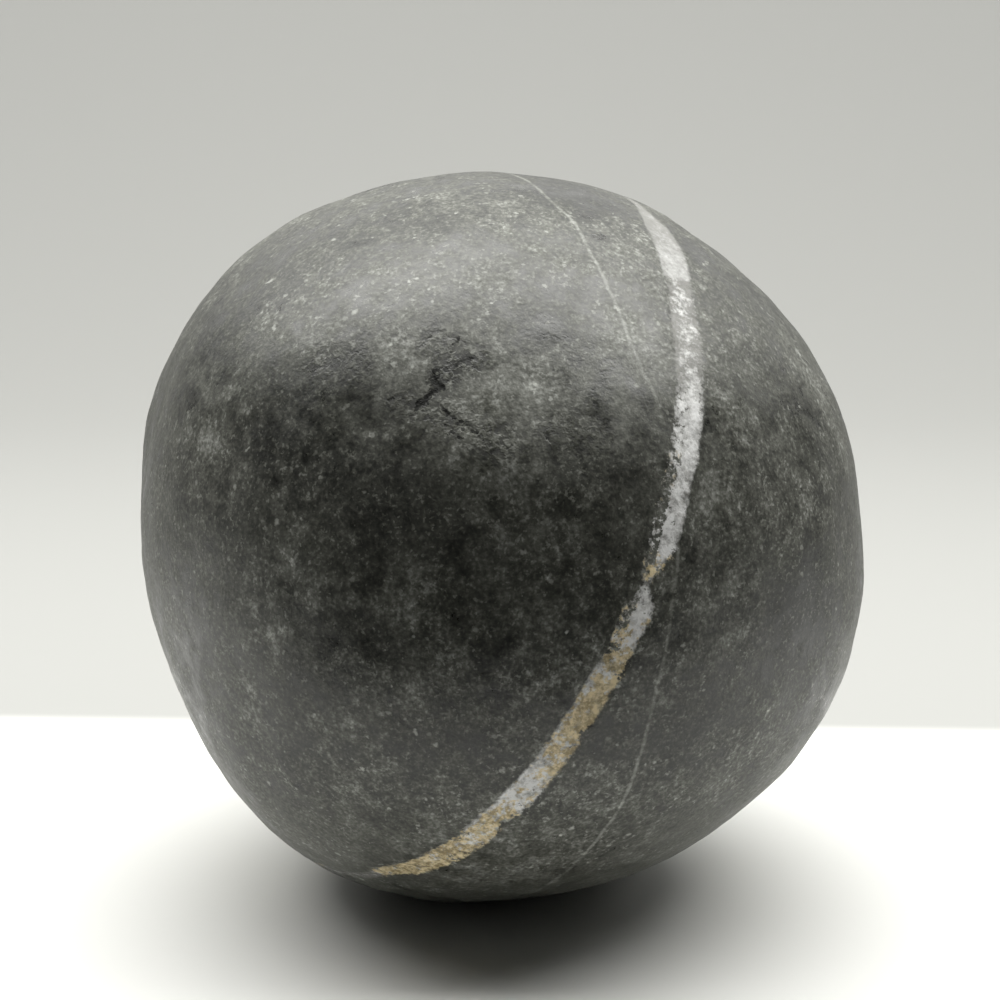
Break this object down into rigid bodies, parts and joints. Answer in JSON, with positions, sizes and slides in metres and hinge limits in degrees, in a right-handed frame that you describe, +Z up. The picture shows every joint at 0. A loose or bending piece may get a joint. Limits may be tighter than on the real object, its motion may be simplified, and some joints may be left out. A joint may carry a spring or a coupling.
{
  "type": "shaligram stone",
  "caption": "Water-rounded black river pebble, nearly a ball, crossed by a pale mineral vein and a hairline vein, with a small flat that it rests on.",
  "frame": {"origin": "on the flat that the stone rests on, straight below the middle of the stone", "axes": "+Z up when it rests; -Y is the side with the broad pale vein; +X to the right of that side"},
  "size_m": [0.0713, 0.071, 0.071],
  "materials": {
    "stone": "satin"
  },
  "bodies": {
    "root": {"stone": "stone"}
  },
  "joints": []
}
